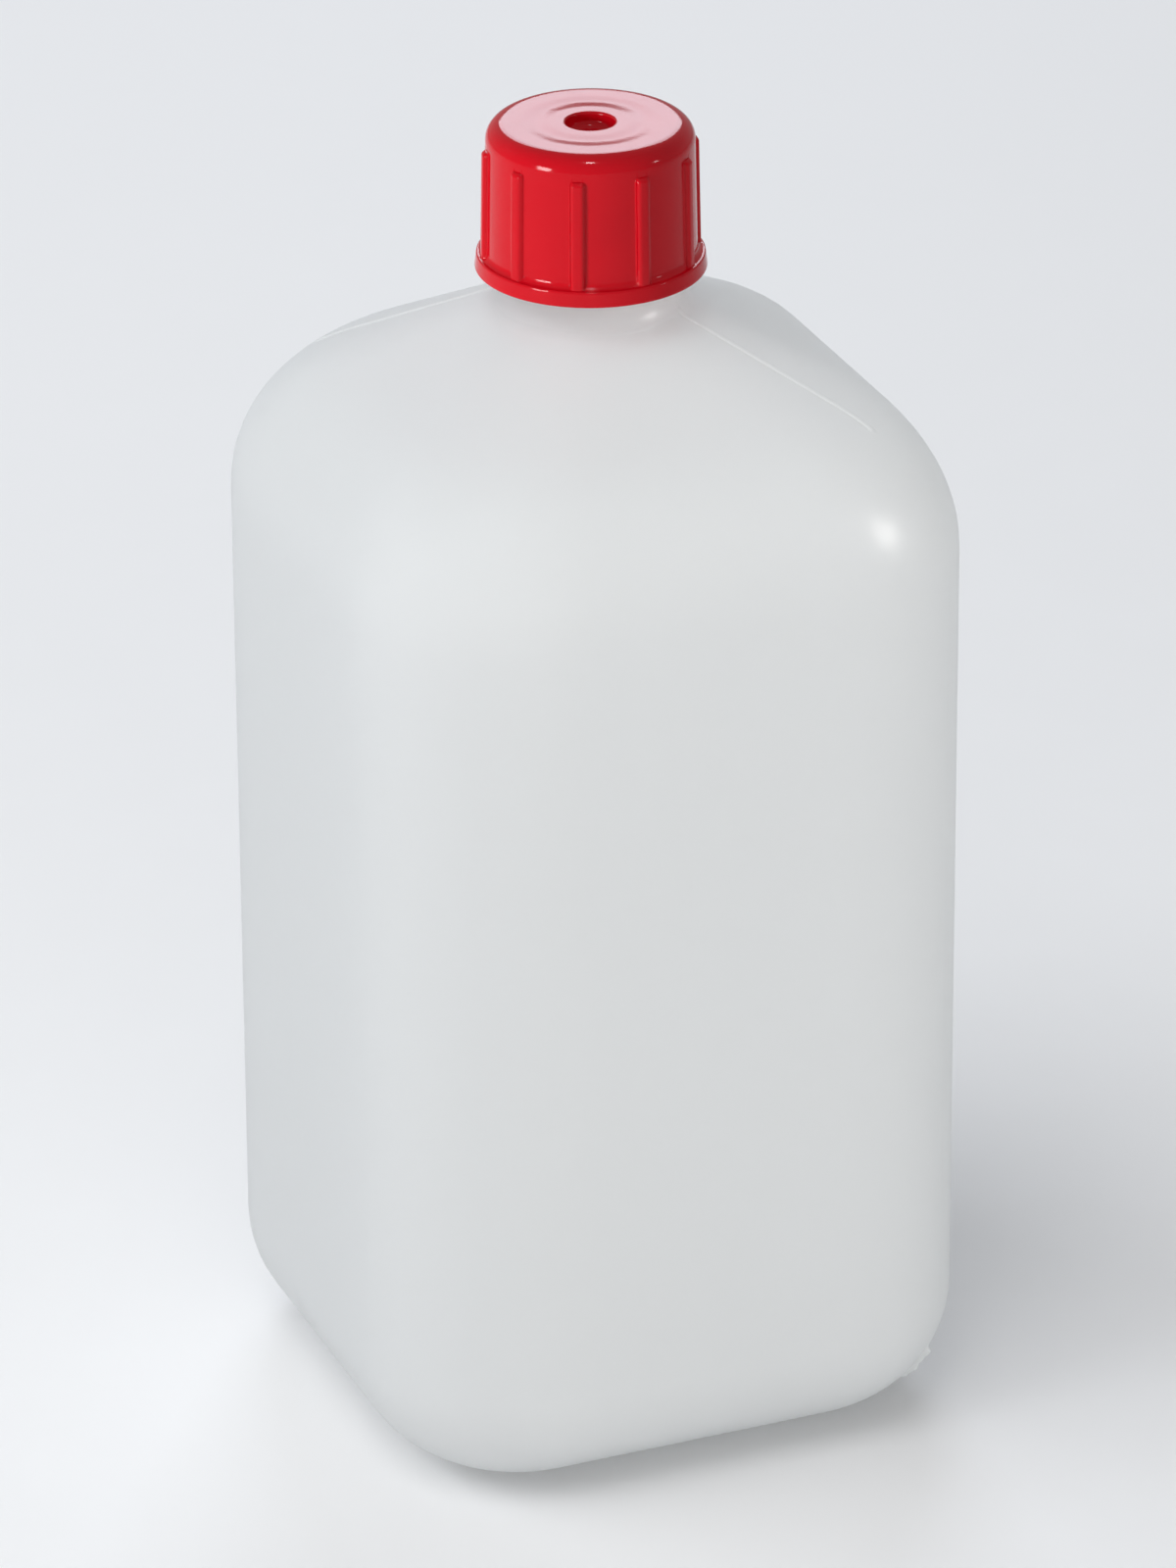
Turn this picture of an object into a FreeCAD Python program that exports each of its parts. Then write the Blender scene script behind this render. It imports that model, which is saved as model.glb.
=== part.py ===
import FreeCAD, Part
import math
import os
from FreeCAD import Vector

# A square blow-moulded bottle, its ribbed screw cap and the sealing ring between them.
# Millimetres and degrees. Z is the bottle's axis, and the bottle stands on z = 0.
# The mould parts on one diagonal of the square, which leaves pinched ridges on that diagonal.

# Body of the bottle
body_side = 92.0
body_corner_radius = 24.7
base_edge_radius = 18.0
wall_height = 136.5
wall_thickness = 1.2
shoulder_radius = 25.8
shoulder_slope = 28.5
shoulder_steps = 6

# Underside of the bottle
standing_ring_width = 5.0
base_recess_depth = 2.4
base_recess_run = 3.0
base_recess_corner = 9.0

# Marks that the mould's parting plane leaves on the bottle
parting_angle = -45.0
ridge_width = 1.2
ridge_height = 0.3
ridge_reach = 43.3
pinch_tail_height = 0.7
pinch_tail_low = 3.0
pinch_tail_high = 9.8
base_weld_width = 1.0
base_weld_height = 0.8

# Neck of the bottle
collar_radius = 12.6
collar_height = 7.0
crown_inset = 2.2
crown_flat = 0.6
neck_fillet = 4.0
neck_radius = 11.6
neck_height = 24.0
rim_round = 0.5
bore_radius = 9.6

# Sealing ring
seal_thickness = 1.2
seal_clearance = 0.3

# Screw cap
cap_height = 21.8
cap_plate = 1.7
cap_edge_radius = 2.6
cap_wall = 1.9
cap_draft = 1.1
collar_clearance = 0.4
mouth_chamfer = 0.5
flange_height = 2.3
flange_overhang = 1.4
flange_flare = 0.3
flange_round = 0.27
flange_fillet = 0.3
plug_clearance = 0.3
plug_thickness = 1.2
plug_depth = 4.0
plug_chamfer = 0.4
dimple_radius = 3.7
dimple_depth = 2.2
dimple_draft = 10.0
dimple_wall = 1.2

# Grip ribs of the cap
rib_count = 10
rib_phase = 24.9
rib_width = 2.0
rib_proud = 0.7
rib_drop = 3.4
rib_round = 0.6
rib_sink = 0.15
rib_root = 0.8

# Sizes that follow from those above
body_half = body_side / 2
slope = math.radians(shoulder_slope)
arc_turn = math.pi / 2 - slope
arc_centre_half = body_half - shoulder_radius
arc_end_half = arc_centre_half + shoulder_radius * math.cos(arc_turn)
arc_end_height = wall_height + shoulder_radius * math.sin(arc_turn)
root_height = arc_end_height + (arc_end_half - collar_radius) * math.tan(slope)
crown_half = collar_radius - crown_inset
crown_corner = crown_half - crown_flat / 2
crown_height = root_height + crown_inset * math.tan(slope)
collar_top = root_height + collar_height
rim_height = root_height + neck_height
plate_underside = rim_height + seal_thickness
cap_top = plate_underside + cap_plate
cap_bottom = cap_top - cap_height
cap_mouth_radius = collar_radius + collar_clearance
skirt_radius = cap_mouth_radius + cap_wall
skirt_top = cap_top - cap_edge_radius
ledge_height = cap_bottom + flange_height
plug_radius = bore_radius - plug_clearance
touch = 0.001


def rounded_square(half, radius, height):
    """Outline of a square with round corners, level at the given height."""
    flat = half - radius
    bulge = flat + radius * math.sqrt(0.5)
    edges = []
    for quarter in range(4):
        side = Part.LineSegment(Vector(half, -flat, height), Vector(half, flat, height)).toShape()
        start, middle, end = Vector(half, flat, height), Vector(bulge, bulge, height), Vector(flat, half, height)
        corner = Part.Arc(start, middle, end).toShape()
        for edge in (side, corner):
            edge.rotate(Vector(), Vector(0, 0, 1), 90 * quarter)
            edges.append(edge)
    return Part.Wire(edges)


def corner_radius_at(half):
    """Plan rounding of the shoulder's corners, which tighten evenly from the walls to the neck."""
    share = (half - crown_half) / (body_half - crown_half)
    return crown_corner + share * (body_corner_radius - crown_corner)


def shoulder_outline(angle, inset):
    """Level outline where the shoulder's arc has turned by angle, inset square to the surface."""
    outer_half = arc_centre_half + shoulder_radius * math.cos(angle)
    half = outer_half - inset * math.cos(angle)
    height = wall_height + (shoulder_radius - inset) * math.sin(angle)
    return rounded_square(half, corner_radius_at(outer_half) - inset * math.cos(angle), height)


def crown_outline(inset):
    """Level outline where the sloping shoulder ends, inside the neck."""
    step_in = inset * math.sin(slope)
    return rounded_square(crown_half - step_in, crown_corner - step_in, crown_height - inset * math.cos(slope))


def walls(inset):
    """Upright walls with the rounded edge round the base."""
    outline = rounded_square(body_half - inset, body_corner_radius - inset, inset)
    prism = Part.Face(outline).extrude(Vector(0, 0, wall_height - inset))
    foot = [edge for edge in prism.Edges if edge.BoundBox.ZMax < inset + touch]
    return prism.makeFillet(base_edge_radius - inset, foot)


def shoulder(inset):
    """Arc that leans the walls in, and the hipped slope above it up to the neck."""
    outlines = [shoulder_outline(arc_turn * step / shoulder_steps, inset) for step in range(shoulder_steps + 1)]
    arc = Part.makeLoft(outlines, True, False)
    hips = Part.makeLoft([outlines[-1], crown_outline(inset)], True, True)
    return arc.fuse(hips)


def blown_form(inset):
    """The bottle's body as one solid, inset square to its outside."""
    return walls(inset).fuse(shoulder(inset))


def turned(points):
    """Solid turned about the Z axis; a point is (radius, height), and a third entry bends the run to it."""
    edges = []
    last = Vector(points[0][0], 0, points[0][1])
    for point in points[1:] + points[:1]:
        here = Vector(point[0], 0, point[1])
        if len(point) > 2:
            via = Vector(point[2][0], 0, point[2][1])
            edges.append(Part.Arc(last, via, here).toShape())
        elif here.distanceToPoint(last) > touch:
            edges.append(Part.LineSegment(last, here).toShape())
        last = here
    return Part.Face(Part.Wire(edges)).revolve(Vector(), Vector(0, 0, 1), 360)


def on_circle(centre, radius, degrees):
    """Point of a circle in the (radius, height) plane."""
    turn = math.radians(degrees)
    return centre[0] + radius * math.cos(turn), centre[1] + radius * math.sin(turn)


def parting_slab(width, near, far, low, high):
    """Two thin plates in the mould's parting plane, one on each side of the axis."""
    plates = []
    for side in (0, 180):
        plate = Part.makeBox(far - near, width, high - low, Vector(near, -width / 2, low))
        plate.rotate(Vector(), Vector(0, 0, 1), parting_angle + side)
        plates.append(plate)
    return Part.makeCompound(plates)


def neck():
    """Collar under the cap, and the upper neck that carries the thread."""
    rim_centre = (neck_radius - rim_round, rim_height - rim_round)
    return turned([
        (0, arc_end_height),
        (collar_radius, arc_end_height),
        (collar_radius, collar_top),
        (neck_radius, collar_top + collar_radius - neck_radius),
        (neck_radius, rim_centre[1]),
        (rim_centre[0], rim_height, on_circle(rim_centre, rim_round, 45)),
        (0, rim_height),
    ])


def outside():
    """Body and neck as one solid, with the fillet where the collar rises out of the shoulder."""
    solid = blown_form(0).fuse(neck())
    joint = []
    for edge in solid.Edges:
        middle = edge.valueAt((edge.FirstParameter + edge.LastParameter) / 2)
        on_collar = abs(math.hypot(middle.x, middle.y) - collar_radius) < touch
        if on_collar and edge.BoundBox.ZMax < collar_top - touch:
            joint.append(edge)
    return solid.makeFillet(neck_fillet, joint)


def base_recess(outset):
    """Push-up under the base, which leaves a standing ring round it."""
    half = body_half - base_edge_radius - standing_ring_width + outset
    corner = base_recess_corner + outset
    mouth = rounded_square(half, corner, 0)
    roof = rounded_square(half - base_recess_run, corner - base_recess_run, base_recess_depth + outset)
    return Part.makeLoft([mouth, roof], True, True)


def base_weld():
    """Pinched weld line across the roof of the push-up, on the parting plane."""
    reach = body_half - base_edge_radius - standing_ring_width - base_recess_run
    high = base_recess_depth + wall_thickness / 2
    return parting_slab(base_weld_width, 0, reach, base_recess_depth - base_weld_height, high)


def bottle():
    """Hollow bottle with its shoulder ridges, pinch tails, push-up and bored neck."""
    ridges = shoulder(-ridge_height).common(parting_slab(ridge_width, 0, ridge_reach, wall_height, collar_top))
    tails = walls(-pinch_tail_height).common(
        parting_slab(ridge_width, body_half, body_side, pinch_tail_low, pinch_tail_high))
    cavity = blown_form(wall_thickness).cut(base_recess(wall_thickness))
    bore = Part.makeCylinder(bore_radius, rim_height - wall_height, Vector(0, 0, wall_height))
    shell = outside().fuse([ridges, tails]).cut(base_recess(0)).fuse(base_weld())
    return shell.cut(cavity.fuse(bore))


def sealing_ring():
    """Flat ring on the rim, centred round the cap's plug ring."""
    outer = Part.makeCylinder(cap_mouth_radius - seal_clearance, seal_thickness, Vector(0, 0, rim_height))
    return outer.cut(Part.makeCylinder(plug_radius + seal_clearance, seal_thickness, Vector(0, 0, rim_height)))


def skirt_radius_at(height):
    """Outside radius of the drafted skirt."""
    return skirt_radius + (skirt_top - height) * math.tan(math.radians(cap_draft))


def cap_outside():
    """Plate, drafted skirt and flange as one turned solid."""
    ledge_radius = skirt_radius_at(ledge_height) + flange_overhang - flange_flare
    flange_radius = ledge_radius + flange_flare
    foot_centre = (flange_radius - flange_round, cap_bottom + flange_round)
    ledge_centre = (ledge_radius - flange_round, ledge_height - flange_round)
    hollow_centre = (skirt_radius_at(ledge_height) + flange_fillet, ledge_height + flange_fillet)
    edge_centre = (skirt_radius - cap_edge_radius, skirt_top)
    return turned([
        (0, cap_bottom),
        (foot_centre[0], cap_bottom),
        (flange_radius, foot_centre[1], on_circle(foot_centre, flange_round, 315)),
        (ledge_radius, ledge_centre[1]),
        (ledge_centre[0], ledge_height, on_circle(ledge_centre, flange_round, 45)),
        (hollow_centre[0], ledge_height),
        (skirt_radius_at(ledge_height), hollow_centre[1], on_circle(hollow_centre, flange_fillet, 225)),
        (skirt_radius, skirt_top),
        (edge_centre[0], cap_top, on_circle(edge_centre, cap_edge_radius, 45)),
        (0, cap_top),
    ])


def cap_inside():
    """Hollow under the plate, with its mouth chamfered to find the neck."""
    return turned([
        (0, cap_bottom),
        (cap_mouth_radius + mouth_chamfer, cap_bottom),
        (cap_mouth_radius, cap_bottom + mouth_chamfer),
        (cap_mouth_radius, plate_underside),
        (0, plate_underside),
    ])


def plug_ring():
    """Ring under the plate that enters the bore."""
    low = plate_underside - plug_depth
    inner = plug_radius - plug_thickness
    return turned([
        (inner, low),
        (plug_radius - plug_chamfer, low),
        (plug_radius, low + plug_chamfer),
        (plug_radius, plate_underside + touch),
        (inner, plate_underside + touch),
    ])


def dimple():
    """Tapered gate recess in the middle of the plate."""
    floor_radius = dimple_radius - dimple_depth * math.tan(math.radians(dimple_draft))
    return Part.makeCone(floor_radius, dimple_radius, dimple_depth, Vector(0, 0, cap_top - dimple_depth))


def dimple_boss():
    """Thick spot under the plate that keeps a wall below the dimple."""
    low = cap_top - dimple_depth - dimple_wall
    return Part.makeCylinder(dimple_radius + dimple_wall, plate_underside + touch - low, Vector(0, 0, low))


def grip_rib():
    """Upright rib with a round top end and round edges, on the skirt at angle zero."""
    high = cap_top - rib_drop
    bend_radius = rib_proud + rib_sink
    bend_centre = (skirt_radius_at(high) - rib_sink, high - bend_radius)
    low = ledge_height - flange_round
    foot_radius = skirt_radius_at(low) + rib_proud
    inner = skirt_radius - rib_root
    points = [
        Vector(inner, -rib_width / 2, low),
        Vector(foot_radius, -rib_width / 2, low),
        Vector(bend_centre[0] + bend_radius, -rib_width / 2, bend_centre[1]),
        Vector(bend_centre[0], -rib_width / 2, high),
        Vector(inner, -rib_width / 2, high),
    ]
    bend = on_circle(bend_centre, bend_radius, 45)
    edges = [Part.LineSegment(points[n], points[(n + 1) % 5]).toShape() for n in (0, 1, 3, 4)]
    edges.insert(2, Part.Arc(points[2], Vector(bend[0], -rib_width / 2, bend[1]), points[3]).toShape())
    rib = Part.Face(Part.Wire(edges)).extrude(Vector(0, rib_width, 0))
    crest = [edge for edge in rib.Edges if edge.BoundBox.YLength < touch
             and edge.BoundBox.XMin > inner + touch and edge.BoundBox.ZLength > touch]
    return rib.makeFillet(min(rib_round, rib_width / 2 - touch), crest)


def screw_cap():
    """Cap with its ribs, plug ring and dimple."""
    ribs = []
    for number in range(rib_count):
        rib = grip_rib()
        rib.rotate(Vector(), Vector(0, 0, 1), rib_phase + number * 360 / rib_count)
        ribs.append(rib)
    body = cap_outside().fuse(ribs).cut(cap_inside())
    return body.fuse([plug_ring(), dimple_boss()]).cut(dimple()).removeSplitter()


os.makedirs("parts", exist_ok=True)
bottle().exportStep("parts/bottle.step")
sealing_ring().exportStep("parts/sealing_ring.step")
screw_cap().exportStep("parts/screw_cap.step")
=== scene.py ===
"""A square blow-moulded bottle, its ribbed screw cap and the seal between them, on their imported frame."""

import math

import bmesh
import bpy
from bpy.props import FloatProperty, FloatVectorProperty, IntProperty, PointerProperty
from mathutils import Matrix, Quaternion, Vector


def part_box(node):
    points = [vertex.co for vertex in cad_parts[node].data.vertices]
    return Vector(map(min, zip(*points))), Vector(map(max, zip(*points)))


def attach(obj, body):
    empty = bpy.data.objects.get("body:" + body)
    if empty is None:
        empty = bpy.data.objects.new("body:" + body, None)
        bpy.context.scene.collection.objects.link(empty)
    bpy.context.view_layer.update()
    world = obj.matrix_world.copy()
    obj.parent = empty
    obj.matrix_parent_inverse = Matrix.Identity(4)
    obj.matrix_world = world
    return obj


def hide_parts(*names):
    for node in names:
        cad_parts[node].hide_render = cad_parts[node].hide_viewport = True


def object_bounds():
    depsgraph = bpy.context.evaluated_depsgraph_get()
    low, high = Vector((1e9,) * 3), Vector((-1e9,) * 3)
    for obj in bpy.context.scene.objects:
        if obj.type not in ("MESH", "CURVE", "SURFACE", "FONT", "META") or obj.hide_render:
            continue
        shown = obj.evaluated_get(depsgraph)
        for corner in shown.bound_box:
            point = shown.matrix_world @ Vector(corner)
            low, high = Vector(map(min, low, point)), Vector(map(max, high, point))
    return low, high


bl_info = {
    "name": "Square Bottle with Screw Cap",
    "version": (1, 0, 0),
    "blender": (4, 5, 0),
    "location": "3D View > Sidebar > Bottle",
    "description": "Models a square bottle with its screw cap, threads and seal",
    "category": "Object",
}

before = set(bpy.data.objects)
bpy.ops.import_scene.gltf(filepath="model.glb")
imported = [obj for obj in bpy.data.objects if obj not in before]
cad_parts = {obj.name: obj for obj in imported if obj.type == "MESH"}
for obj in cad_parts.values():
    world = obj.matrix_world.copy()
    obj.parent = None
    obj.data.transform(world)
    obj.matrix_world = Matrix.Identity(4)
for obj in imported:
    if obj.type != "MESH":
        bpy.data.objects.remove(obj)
cad_low, cad_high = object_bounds()
bottle_low, bottle_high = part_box("bottle")
cap_low, cap_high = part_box("screw_cap")
seal_low, seal_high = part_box("sealing_ring")

UP = Vector((0, 0, 1))
# The mould's parting plane is upright and runs through two corners of the body
ACROSS_PARTING = Vector((1, 1, 0)).normalized()
ALONG_PARTING = Vector((1, -1, 0)).normalized()
ROOT_TWO = math.sqrt(2)
# Segments of an upright corner, and cuts across each flat wall
CORNER_STEPS = 14
FLAT_CUTS = 7
# The most of a half width that a corner takes, so that corners stay apart
ROUNDEST = 0.9985
# Points nearer to each other than this become one
MERGE = 1e-6
# Distance from the end of a straight run to the point that keeps it flat
FLAT_MARGIN = 0.00012
# Length of rounding per segment in a turned section
ROUND_STEP = 0.00025


# Settings

def length(name, default, description):
    return FloatProperty(name=name, description=description, default=default, unit="LENGTH", precision=5)


def angle(name, degrees, description):
    return FloatProperty(name=name, description=description, default=math.radians(degrees), subtype="ANGLE")


def colour(name, default, description):
    return FloatVectorProperty(
        name=name, description=description, default=default, subtype="COLOR", size=3, min=0, max=1)


def point(name, default, description):
    return FloatVectorProperty(
        name=name, description=description, default=default, subtype="TRANSLATION", size=3)


def amount(name, default, description):
    return FloatProperty(name=name, description=description, default=default, min=0)


def fraction(name, default, description):
    return FloatProperty(name=name, description=description, default=default, min=0, max=1, subtype="FACTOR")


class BottleSizes(bpy.types.PropertyGroup):
    side: length("Body side", bottle_high.x - bottle_low.x, "Width of the body across two flat walls")
    corner_radius: length("Corner radius", 0.0247, "Rounding of the upright corners of the body")
    base_edge_radius: length("Base edge radius", 0.018, "Rounding between the walls and the base")
    wall_height: length("Wall height", 0.1365, "Height where the upright walls end")
    wall_thickness: length("Wall thickness", 0.0012, "Thickness of the blown wall")
    shoulder_radius: length("Shoulder radius", 0.0258, "Radius of the arc that leans the walls in")
    shoulder_slope: angle("Shoulder slope", 28.5, "Slope of the hipped shoulder above its arc")
    ring_width: length("Standing ring width", 0.005, "Width of the ring under the base")
    recess_depth: length("Push-up depth", 0.0024, "Depth of the push-up under the base")
    recess_run: length("Push-up run", 0.003, "How far the sides of the push-up lean in")
    recess_corner: length("Push-up corner", 0.009, "Corner rounding of the push-up's mouth")
    collar_radius: length("Collar radius", 0.0126, "Radius of the neck under the cap")
    collar_height: length("Collar height", 0.007, "Height of the collar")
    neck_fillet: length("Neck fillet", 0.004, "Fillet between the shoulder and the neck")
    neck_radius: length("Neck radius", 0.0116, "Radius of the neck under its thread")
    bore_radius: length("Bore radius", 0.0096, "Radius of the neck's bore")
    crown_inset: length("Crown inset", 0.0022, "How far the hips run on under the neck")
    crown_flat: length("Crown flat", 0.0006, "Flat between the corners where the hips end")
    bead_width: length("Parting bead width", 0.0012, "Width of the beads and the fins")
    bead_height: length("Parting bead height", 0.00019, "Height of the bead")
    bead_reach: length("Parting bead reach", 0.0433, "Distance from the axis to the bead's tip")
    tail_height: length("Pinch tail height", 0.0009, "Height of the fins on the base edge")
    tail_low: length("Pinch tail low end", 0.0042, "Height where the fins begin")
    tail_high: length("Pinch tail high end", 0.0104, "Height where the fins end")
    weld_width: length("Base weld width", 0.001, "Width of the weld line under the base")
    weld_height: length("Base weld height", 0.0008, "Height of the weld line under the base")


class CapSizes(bpy.types.PropertyGroup):
    mouth_radius: length("Mouth radius", 0.013, "Inside radius of the skirt")
    wall: length("Skirt wall", 0.0019, "Thickness of the skirt at its top")
    draft: angle("Skirt draft", 1.1, "Taper of the skirt")
    edge_radius: length("Top edge radius", 0.0026, "Rounding between the plate and the skirt")
    plate: length("Plate thickness", 0.0017, "Thickness of the plate")
    flange_height: length("Flange height", 0.0023, "Height of the flange under the skirt")
    flange_overhang: length("Flange overhang", 0.0014, "How far the flange stands out")
    flange_flare: length("Flange flare", 0.0003, "How much wider the flange is at its foot")
    flange_fillet: length("Flange fillet", 0.0009, "Fillet between the skirt and the flange")
    flange_round: length("Flange rounding", 0.00027, "Rounding of the flange's edges")
    plug_radius: length("Plug ring radius", 0.0093, "Outside radius of the ring in the bore")
    plug_depth: length("Plug ring depth", 0.004, "Length of the ring in the bore")
    plug_wall: length("Plug ring wall", 0.0012, "Thickness of the ring in the bore")
    sink_radius: length("Sink ring radius", 0.0077, "Radius of the faint ring sunk into the plate")
    dimple_radius: length("Gate dimple radius", 0.00358, "Radius of the recess in the plate")
    dimple_depth: length("Gate dimple depth", 0.0022, "Depth of the recess in the plate")
    dimple_draft: angle("Gate dimple draft", 10, "Taper of the recess in the plate")
    dimple_wall: length("Gate dimple wall", 0.0012, "Wall under and round the recess")
    rib_count: IntProperty(name="Ribs", description="Number of grip ribs", default=10, min=3, max=40)
    rib_phase: angle("Rib phase", 24.9, "Angle of the first rib from the X axis")
    rib_width: length("Rib width", 0.002, "Width of a grip rib")
    rib_height: length("Rib height", 0.0007, "How far a grip rib stands out")
    rib_round: length("Rib rounding", 0.0006, "Rounding of a rib's long edges")
    rib_root: length("Rib root fillet", 0.00025, "Fillet between a rib and the skirt")
    rib_drop: length("Rib drop", 0.0034, "Distance from the plate to a rib's top end")


class ThreadSizes(bpy.types.PropertyGroup):
    pitch: length("Pitch", 0.003, "Rise of the thread in one turn")
    neck_crest: length("Neck thread crest", 0.0125, "Outside radius of the neck's thread")
    neck_low: length("Neck thread start", 0.1832, "Height where the neck's thread begins")
    neck_turns: amount("Neck thread turns", 2.25, "Turns of the neck's thread")
    cap_crest: length("Cap thread crest", 0.01205, "Inside radius of the cap's thread")
    cap_low: length("Cap thread start", 0.1817, "Height where the cap's thread begins")
    cap_turns: amount("Cap thread turns", 1.75, "Turns of the cap's thread")


class Finishes(bpy.types.PropertyGroup):
    bottle: colour("Bottle", (0.934, 0.942, 0.945), "Milky body of natural polyethylene")
    see_through: fraction("See-through share", 0.6, "Share of the light that a face of the wall lets in")
    cap: colour("Cap", (0.59, 0.002, 0.010), "Glossy red of the cap")
    seal: colour("Seal", (0.82, 0.81, 0.77), "White foam of the seal")
    floor: colour("Floor", (0.88, 0.88, 0.885), "Pale floor")


class StageSettings(bpy.types.PropertyGroup):
    camera_place: point("Camera place", (-0.4464, -1.0985, 0.6604), "Where the camera stands")
    camera_target: point("Camera target", (-0.0007, 0.0005, 0.0930), "Point that the camera looks at")
    camera_roll: angle("Camera roll", -0.32, "Turn of the camera about its line of sight")
    lens: amount("Lens", 206.44, "Focal length of the camera in millimetres")
    world_light: amount("World light", 0.26, "Brightness of the even light from all round")
    backdrop: amount("Backdrop", 0.45, "Brightness of the background")
    floor_bounce: fraction("Floor bounce", 0.86, "Share of the floor's colour that lights the rest")
    front_panel: amount("Front panel", 2.0, "Brightness of the wide panel in front")
    top_panel: amount("Top panel", 2.5, "Brightness of the wide panel overhead")
    left_panel: amount("Left panel", 2.0, "Brightness of the wide panel on the left")
    right_lamp: amount("Right lamp", 19.0, "Brightness of the right lamp on the bottle")
    left_cap_lamp: amount("Left cap lamp", 26.0, "Brightness of the left lamp on the cap")
    right_cap_lamp: amount("Right cap lamp", 16.0, "Brightness of the right lamp on the cap")
    crown_lamp: amount("Crown lamp", 48.0, "Brightness of the small overhead lamp on the cap")
    rim_panel: amount("Rim panel", 4.0, "Brightness of the panel behind on the left")
    back_panel: amount("Back panel", 5.2, "Brightness of the panel behind that the plate mirrors")


# Mesh work

def bevel(bm, geom, offset, segments, affect, **options):
    return bmesh.ops.bevel(
        bm, geom=geom, offset=offset, offset_type="OFFSET", segments=segments, profile=0.5, affect=affect,
        material=-1, **options)


def level_loop(bm, half, corner, height):
    """Makes a level square with rounded corners and returns its edges."""
    corners = bmesh.ops.create_grid(bm, x_segments=1, y_segments=1, size=half)["verts"]
    bmesh.ops.translate(bm, vec=(0, 0, height), verts=corners)
    rounded = bevel(bm, corners, min(corner, half * ROUNDEST), CORNER_STEPS, "VERTICES")["verts"]
    face = rounded[0].link_faces[0]
    edges = list(face.edges)
    bmesh.ops.delete(bm, geom=[face], context="FACES_ONLY")
    return edges


def of_kind(geom, kind):
    """The verts, edges or faces in an operator's result."""
    return [item for item in geom if isinstance(item, kind)]


def loft(bm, outlines):
    """Bridges level outlines, closes both ends and rounds the loops that give a radius."""
    loops = [level_loop(bm, *outline[:3]) for outline in outlines]
    for lower, upper in zip(loops, loops[1:]):
        verts = list({vert for edge in upper for vert in edge.verts})
        bmesh.ops.translate(bm, vec=UP, verts=verts)
        bmesh.ops.bridge_loops(bm, edges=lower + upper)
        bmesh.ops.translate(bm, vec=-UP, verts=verts)
    for end in (loops[0], loops[-1]):
        bmesh.ops.edgeloop_fill(bm, edges=end)
    for outline, loop in zip(outlines, loops):
        if len(outline) > 3:
            bevel(bm, loop, outline[3], 3, "EDGES", clamp_overlap=True)


def divide_flats(bm, cuts):
    """Divides the level edges that cross the middle of a wall."""
    sides = []
    for edge in bm.edges:
        first, second = (vert.co for vert in edge.verts)
        middle = first + second
        if abs(first.z - second.z) < MERGE and min(abs(middle.x), abs(middle.y)) < MERGE:
            sides.append(edge)
    bmesh.ops.subdivide_edges(bm, edges=sides, cuts=cuts, use_grid_fill=True)


def cut(bm, geom, place, normal):
    bmesh.ops.bisect_plane(bm, geom=geom, dist=MERGE / 10, plane_co=place, plane_no=normal)


def cut_faces(bm, faces, place, normal):
    """Cuts only the given faces by a plane."""
    edges = {edge for face in faces for edge in face.edges}
    verts = {vert for face in faces for vert in face.verts}
    cut(bm, list(faces) + list(edges) + list(verts), place, normal)


def hold_flat(bm):
    """Adds a point near each end of the long straight runs, so that they shade flat."""
    for edge in [edge for edge in bm.edges if edge.calc_length() > FLAT_MARGIN * 6]:
        start, end = (vert.co.copy() for vert in edge.verts)
        inner = bmesh.ops.subdivide_edges(bm, edges=[edge], cuts=2)["geom_inner"]
        near, far = sorted(of_kind(inner, bmesh.types.BMVert), key=lambda vert: (vert.co - start).length)
        step = (end - start).normalized() * FLAT_MARGIN
        near.co, far.co = start + step, end - step


def section(bm, corners):
    """Makes half of a section with rounded corners, and returns its edges off the axis."""
    verts = [bm.verts.new((radius, 0, height)) for radius, height, rounding in corners]
    bm.faces.new(verts)
    places = [vert.co.copy() for vert in verts]
    for number, (radius, height, rounding) in enumerate(corners):
        if rounding:
            before = places[number - 1] - places[number]
            after = places[(number + 1) % len(places)] - places[number]
            run = rounding / math.tan(before.angle(after) / 2)
            bevel(bm, [verts[number]], run, max(3, round(rounding / ROUND_STEP)), "VERTICES")
    bmesh.ops.delete(bm, geom=list(bm.faces), context="FACES_ONLY")
    hold_flat(bm)
    axis = [edge for edge in bm.edges if all(vert.co.x < MERGE for vert in edge.verts)]
    bmesh.ops.delete(bm, geom=axis, context="EDGES")
    return list(bm.edges)


def spin(bm, geom, turn, steps, rise=0.0, **options):
    return bmesh.ops.spin(
        bm, geom=geom, cent=(0, 0, 0), axis=UP, dvec=(0, 0, rise / steps), angle=turn, steps=steps, **options)


def turn_all(bm, turn):
    bmesh.ops.rotate(bm, cent=(0, 0, 0), matrix=Quaternion(UP, turn).to_matrix(), verts=bm.verts)


def close_up(bm):
    """Merges doubles and points the faces outwards."""
    bmesh.ops.remove_doubles(bm, verts=bm.verts, dist=MERGE)
    bmesh.ops.dissolve_degenerate(bm, edges=bm.edges, dist=MERGE / 10)
    bmesh.ops.recalc_face_normals(bm, faces=bm.faces)


def add_object(name, data):
    made = bpy.data.objects.new(name, data)
    bpy.context.scene.collection.objects.link(made)
    return made


def mesh_object(name, bm, finish):
    """Turns a bmesh into an object with one finish."""
    mesh = bpy.data.meshes.new(name)
    bm.to_mesh(mesh)
    bm.free()
    mesh.materials.append(finish)
    return add_object(name, mesh)


def quarter(steps):
    """Angles that divide a quarter turn evenly."""
    return [math.pi / 2 * step / steps for step in range(steps + 1)]


def smoothstep(low, high, value):
    share = min(max((value - low) / (high - low), 0.0), 1.0)
    return share * share * (3 - 2 * share)


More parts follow.
